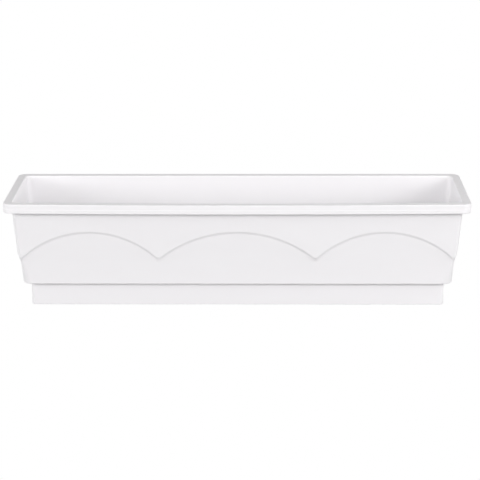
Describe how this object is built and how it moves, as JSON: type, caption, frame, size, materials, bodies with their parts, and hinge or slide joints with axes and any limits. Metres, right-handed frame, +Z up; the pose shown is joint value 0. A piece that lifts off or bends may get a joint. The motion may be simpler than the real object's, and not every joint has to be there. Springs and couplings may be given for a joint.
{
  "type": "self-watering window box planter",
  "caption": "Long white window-box planter with scalloped walls, a flat rim and a reservoir plinth under lift-out separators, with a filler tube and a level float.",
  "frame": {"origin": "on the floor under the middle of the box", "axes": "+X along the box to the right seen from the front, -Y the front, +Z up"},
  "size_m": [0.75, 0.2, 0.18],
  "materials": {
    "white_plastic": "white moulded polypropylene, fine satin grain",
    "separator_plastic": "grey moulded polypropylene",
    "tube_plastic": "light grey moulded polypropylene",
    "cap_plastic": "light grey moulded polypropylene",
    "clear_plastic": "clear moulded plastic",
    "float_foam": "closed-cell foam",
    "red_plastic": "red moulded plastic",
    "fleece": "needled fleece",
    "rubber": "matt black rubber",
    "steel": "drawn stainless wire"
  },
  "bodies": {
    "planter": {"planter_box": "white_plastic"},
    "left_separator": {"separator_left": "separator_plastic", "soil_basket_1": "separator_plastic", "soil_basket_2": "separator_plastic", "wick_strip_1": "fleece", "wick_strip_2": "fleece", "filler_tube": "tube_plastic", "filler_collar": "cap_plastic", "filler_strainer": "separator_plastic", "filler_cap_pin": "steel"},
    "filler_lid": {"filler_cap": "cap_plastic"},
    "right_separator": {"separator_right": "separator_plastic", "soil_basket_3": "separator_plastic", "soil_basket_4": "separator_plastic", "wick_strip_3": "fleece", "wick_strip_4": "fleece", "indicator_tube": "tube_plastic", "indicator_strainer": "separator_plastic", "indicator_window": "clear_plastic"},
    "level_float": {"float_body": "float_foam", "float_rod": "steel", "float_tip": "red_plastic"},
    "drain": {"drain_plug": "separator_plastic", "drain_plug_seal": "rubber"},
    "overflow": {"overflow_plug": "separator_plastic", "overflow_plug_seal": "rubber"}
  },
  "joints": [
    {"name": "left_separator_lift", "type": "slide", "parent": "planter", "child": "left_separator", "axis": [0, 0, 1], "range_m": [0, 0.19]},
    {"name": "right_separator_lift", "type": "slide", "parent": "planter", "child": "right_separator", "axis": [0, 0, 1], "range_m": [0, 0.19]},
    {"name": "filler_lid_hinge", "type": "hinge", "parent": "left_separator", "child": "filler_lid", "pos_m": [-0.1737, -0.024, 0.1568], "axis": [-1, 0, 0], "range_deg": [0, 110]},
    {"name": "float_rise", "type": "slide", "parent": "right_separator", "child": "level_float", "axis": [0, 0, 1], "range_m": [0, 0.022]},
    {"name": "drain_plug_pull", "type": "slide", "parent": "planter", "child": "drain", "axis": [0, 1, 0], "range_m": [0, 0.03]},
    {"name": "overflow_plug_pull", "type": "slide", "parent": "planter", "child": "overflow", "axis": [0, 1, 0], "range_m": [0, 0.03]}
  ]
}
